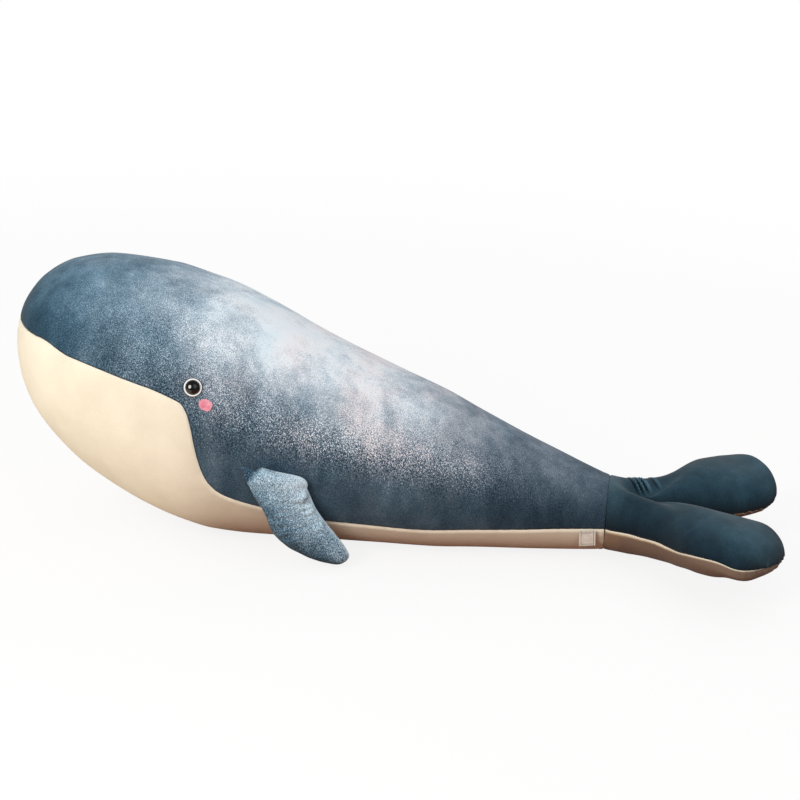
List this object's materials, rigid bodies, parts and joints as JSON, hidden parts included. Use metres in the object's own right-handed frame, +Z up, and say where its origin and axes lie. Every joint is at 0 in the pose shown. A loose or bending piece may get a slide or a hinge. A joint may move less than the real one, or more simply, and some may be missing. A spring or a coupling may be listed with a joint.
{
  "type": "plush whale",
  "caption": "Large stuffed plush whale with a blue back, cream belly, padded side fins, a bending tail with two paddle flukes and safety eyes.",
  "frame": {"origin": "on the floor, under the middle of the whale's length and width", "axes": "+X from nose to tail, +Z up, the whale's own left side towards -Y"},
  "size_m": [1.0065, 0.3668, 0.34],
  "materials": {
    "blue_plush": "short-pile polyester plush, mottled, soft sheen",
    "dark_blue_plush": "short-pile polyester plush, dark, soft sheen",
    "cream_plush": "short-pile polyester plush, soft sheen",
    "fibre_filling": "loose polyester fibre, inside",
    "eye_plastic": "polished black",
    "white_felt": "cut felt",
    "washer_plastic": "moulded, inside",
    "pink_embroidery": "satin stitch",
    "white_ribbon": "woven satin ribbon"
  },
  "bodies": {
    "body": {"belly_panel": "cream_plush", "body_stuffing": "fibre_filling", "back_panel_left": "blue_plush", "back_panel_right": "blue_plush", "eye_left": "eye_plastic", "eye_right": "eye_plastic", "eye_ring_left": "white_felt", "eye_ring_right": "white_felt", "eye_washer_left": "washer_plastic", "eye_washer_right": "washer_plastic", "cheek_left": "pink_embroidery", "cheek_right": "pink_embroidery"},
    "tail": {"tail_top_panel": "dark_blue_plush", "tail_bottom_panel": "cream_plush", "tail_stuffing": "fibre_filling"},
    "fluke_left": {"fluke_left_top_panel": "dark_blue_plush", "fluke_left_bottom_panel": "cream_plush", "fluke_left_stuffing": "fibre_filling"},
    "fluke_right": {"fluke_right_top_panel": "dark_blue_plush", "fluke_right_bottom_panel": "cream_plush", "fluke_right_stuffing": "fibre_filling"},
    "fin_left": {"fin_left_outer_panel": "blue_plush", "fin_left_inner_panel": "blue_plush", "fin_left_stuffing": "fibre_filling"},
    "fin_right": {"fin_right_outer_panel": "blue_plush", "fin_right_inner_panel": "blue_plush", "fin_right_stuffing": "fibre_filling"},
    "label": {"care_label": "white_ribbon"}
  },
  "joints": [
    {"name": "tail_bend", "type": "hinge", "parent": "body", "child": "tail", "pos_m": [0.27375, 0, 0.05704], "axis": [0, 1, 0], "range_deg": [-20, 20], "stiffness_Nm_per_rad": 1.5, "springref_deg": -3.56},
    {"name": "fluke_left_bend", "type": "hinge", "parent": "tail", "child": "fluke_left", "pos_m": [0.31475, -0.034, 0.05304], "axis": [0, 1, 0], "range_deg": [-25, 25], "stiffness_Nm_per_rad": 0.5, "springref_deg": -3.46},
    {"name": "fluke_right_bend", "type": "hinge", "parent": "tail", "child": "fluke_right", "pos_m": [0.31475, 0.034, 0.05304], "axis": [0, 1, 0], "range_deg": [-25, 25], "stiffness_Nm_per_rad": 0.5, "springref_deg": -3.46},
    {"name": "fin_left_flap", "type": "hinge", "parent": "body", "child": "fin_left", "pos_m": [-0.13993, -0.15549, 0.12043], "axis": [-0.9235, -0.2145, 0.318], "range_deg": [0, 100], "stiffness_Nm_per_rad": 0.02},
    {"name": "fin_right_flap", "type": "hinge", "parent": "body", "child": "fin_right", "pos_m": [-0.13993, 0.15549, 0.12043], "axis": [0.9235, -0.2145, -0.318], "range_deg": [0, 100], "stiffness_Nm_per_rad": 0.02},
    {"name": "label_flap", "type": "hinge", "parent": "body", "child": "label", "pos_m": [0.25217, -0.0534, 0.04965], "axis": [-0.9767, -0.2109, -0.04], "range_deg": [0, 120]}
  ]
}
